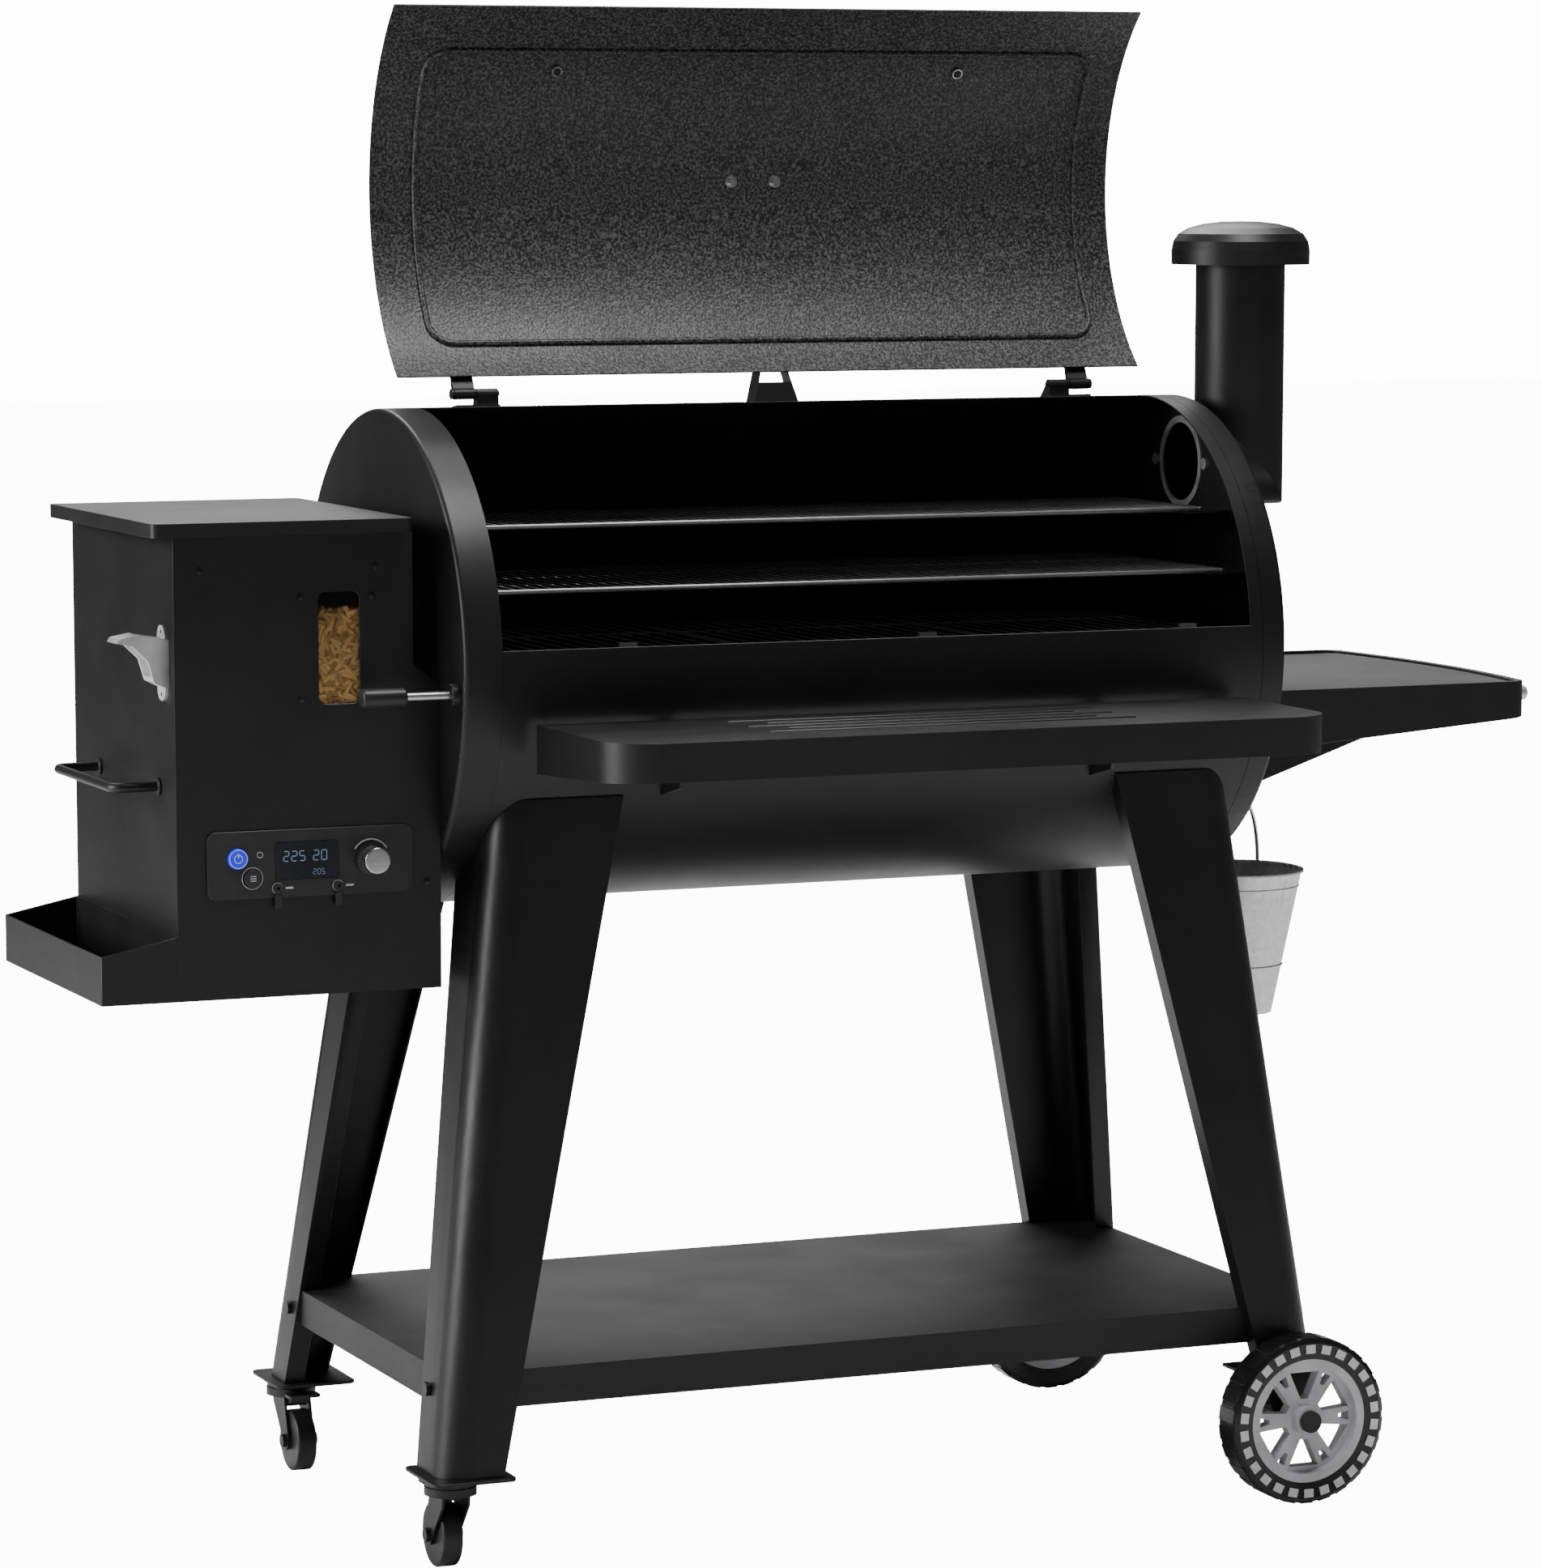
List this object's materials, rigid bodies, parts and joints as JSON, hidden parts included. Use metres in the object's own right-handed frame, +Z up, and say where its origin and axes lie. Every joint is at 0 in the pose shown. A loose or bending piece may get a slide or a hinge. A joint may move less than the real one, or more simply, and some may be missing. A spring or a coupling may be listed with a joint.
{
  "type": "pellet smoker grill",
  "caption": "Barrel pellet smoker with side hopper, hinged lid, chimney, folding front shelf and side shelf on splayed legs with casters and wheels, for smoking and grilling outdoors",
  "frame": {"origin": "centre of the bounding box in plan, on the floor", "axes": "+X along the barrel from the hopper to the chimney, +Y from the front to the back, +Z up"},
  "size_m": [1.8244, 0.918, 1.758],
  "materials": {
    "black_paint": "satin powder coat",
    "steel": "brushed",
    "zinc": "zinc plated",
    "galvanised": "galvanised",
    "cast_iron": "porcelain enamelled",
    "window": "clear",
    "display": "dark lens",
    "plastic_black": "matte",
    "plastic_gloss": "gloss",
    "pellets": "pressed wood pellets",
    "rim_grey": "moulded",
    "tyre": "moulded rubber",
    "caster_rubber": "moulded"
  },
  "bodies": {
    "grill": {"barrel_shell": "black_paint", "left_cap": "black_paint", "right_cap": "black_paint", "flue_ring": "steel", "chimney_pipe": "black_paint", "hinge_brackets": "black_paint", "shelf_brackets": "black_paint", "side_shelf": "black_paint", "tool_hooks": "steel", "hopper_body": "black_paint", "pellet_chute": "galvanised", "auger_tube": "galvanised", "pellet_load": "pellets", "hopper_window": "window", "side_tray": "black_paint", "side_handle": "black_paint", "bottle_opener": "steel", "control_panel": "plastic_black", "panel_display": "display", "probe_jacks": "steel", "auger_motor": "zinc", "fan_housing": "zinc", "fire_pot": "steel", "drip_tray": "galvanised", "cooking_grates": "cast_iron", "rack_supports": "steel", "legs": "black_paint", "lower_shelf": "black_paint", "foot_plates": "black_paint", "wheel_axles": "zinc", "fasteners": "black_paint", "hopper_hinge": "black_paint"},
    "chimney_cap": {"chimney_cap": "black_paint"},
    "lid": {"lid": "black_paint", "lid_handle": "steel", "lid_badge": "steel"},
    "front_shelf": {"front_shelf": "black_paint"},
    "hopper_lid": {"hopper_lid": "black_paint"},
    "power_button": {"power_button": "plastic_gloss"},
    "mode_button": {"mode_button": "plastic_gloss"},
    "control_knob": {"control_knob": "steel"},
    "auger": {"auger": "steel"},
    "fan_wheel": {"fan_wheel": "zinc"},
    "broiler": {"broiler_plate": "steel", "broiler_lever": "steel"},
    "bail": {"bail": "zinc"},
    "bucket": {"bucket": "galvanised"},
    "upper_rack": {"upper_rack": "steel"},
    "middle_rack": {"middle_rack": "steel"},
    "front_caster": {"front_caster_fork": "black_paint"},
    "front_caster_wheel": {"front_caster_wheel": "caster_rubber"},
    "front_brake": {"front_brake": "black_paint"},
    "back_caster": {"back_caster_fork": "black_paint"},
    "back_caster_wheel": {"back_caster_wheel": "caster_rubber"},
    "back_brake": {"back_brake": "black_paint"},
    "front_wheel": {"front_rim": "rim_grey", "front_tyre": "tyre"},
    "back_wheel": {"back_rim": "rim_grey", "back_tyre": "tyre"}
  },
  "joints": [
    {"name": "chimney_cap_height", "type": "slide", "parent": "grill", "child": "chimney_cap", "axis": [0, 0, 1], "range_m": [0, 0.025]},
    {"name": "lid_hinge", "type": "hinge", "parent": "grill", "child": "lid", "pos_m": [0.00225, 0.12695, 1.31104], "axis": [1, 0, 0], "range_deg": [0, 131.9]},
    {"name": "front_shelf_fold", "type": "hinge", "parent": "grill", "child": "front_shelf", "pos_m": [0.0074, -0.22405, 0.925], "axis": [1, 0, 0], "range_deg": [0, 90]},
    {"name": "hopper_lid_hinge", "type": "hinge", "parent": "grill", "child": "hopper_lid", "pos_m": [-0.6847, 0.26795, 1.1786], "axis": [-1, 0, 0], "range_deg": [0, 100]},
    {"name": "power_press", "type": "slide", "parent": "grill", "child": "power_button", "axis": [0, 1, 0], "range_m": [0, 0.0015], "stiffness_N_per_m": 400},
    {"name": "mode_press", "type": "slide", "parent": "grill", "child": "mode_button", "axis": [0, 1, 0], "range_m": [0, 0.0015], "stiffness_N_per_m": 400},
    {"name": "knob_turn", "type": "hinge", "parent": "grill", "child": "control_knob", "pos_m": [-0.5986, -0.12355, 0.805], "axis": [0, 1, 0], "range_deg": [0, 270]},
    {"name": "auger_turn", "type": "hinge", "parent": "grill", "child": "auger", "pos_m": [-0.6642, 0.08195, 0.80036], "axis": [1, 0, 0], "continuous": true},
    {"name": "fan_turn", "type": "hinge", "parent": "grill", "child": "fan_wheel", "pos_m": [-0.5792, 0.17695, 0.77536], "axis": [1, 0, 0], "continuous": true},
    {"name": "broiler_slide", "type": "slide", "parent": "grill", "child": "broiler", "axis": [1, 0, 0], "range_m": [-0.045, 0.045]},
    {"name": "bail_swing", "type": "hinge", "parent": "grill", "child": "bail", "pos_m": [0.599, 0.08195, 0.79448], "axis": [1, 0, 0], "range_deg": [-8, 8]},
    {"name": "bucket_swing", "type": "hinge", "parent": "bail", "child": "bucket", "pos_m": [0.599, 0.08195, 0.69998], "axis": [0.7071, 0.7071, 0], "range_deg": [-8, 8]},
    {"name": "upper_rack_slide", "type": "slide", "parent": "grill", "child": "upper_rack", "axis": [0, 1, 0], "range_m": [-0.25, 0]},
    {"name": "middle_rack_slide", "type": "slide", "parent": "grill", "child": "middle_rack", "axis": [0, 1, 0], "range_m": [-0.25, 0]},
    {"name": "front_caster_swivel", "type": "hinge", "parent": "grill", "child": "front_caster", "pos_m": [-0.53858, -0.20604, 0.098], "axis": [0, 0, 1], "continuous": true},
    {"name": "front_caster_roll", "type": "hinge", "parent": "front_caster", "child": "front_caster_wheel", "pos_m": [-0.53858, -0.17904, 0.0375], "axis": [1, 0, 0], "continuous": true},
    {"name": "front_brake_press", "type": "hinge", "parent": "front_caster", "child": "front_brake", "pos_m": [-0.53858, -0.18604, 0.083], "axis": [-1, 0, 0], "range_deg": [0, 8]},
    {"name": "front_wheel_roll", "type": "hinge", "parent": "grill", "child": "front_wheel", "pos_m": [0.5113, -0.26764, 0.1], "axis": [0, 1, 0], "continuous": true},
    {"name": "back_caster_swivel", "type": "hinge", "parent": "grill", "child": "back_caster", "pos_m": [-0.53858, 0.36995, 0.098], "axis": [0, 0, 1], "continuous": true},
    {"name": "back_caster_roll", "type": "hinge", "parent": "back_caster", "child": "back_caster_wheel", "pos_m": [-0.53858, 0.34295, 0.0375], "axis": [1, 0, 0], "continuous": true},
    {"name": "back_brake_press", "type": "hinge", "parent": "back_caster", "child": "back_brake", "pos_m": [-0.53858, 0.34995, 0.083], "axis": [1, 0, 0], "range_deg": [0, 8]},
    {"name": "back_wheel_roll", "type": "hinge", "parent": "grill", "child": "back_wheel", "pos_m": [0.5113, 0.43155, 0.1], "axis": [0, 1, 0], "continuous": true}
  ]
}
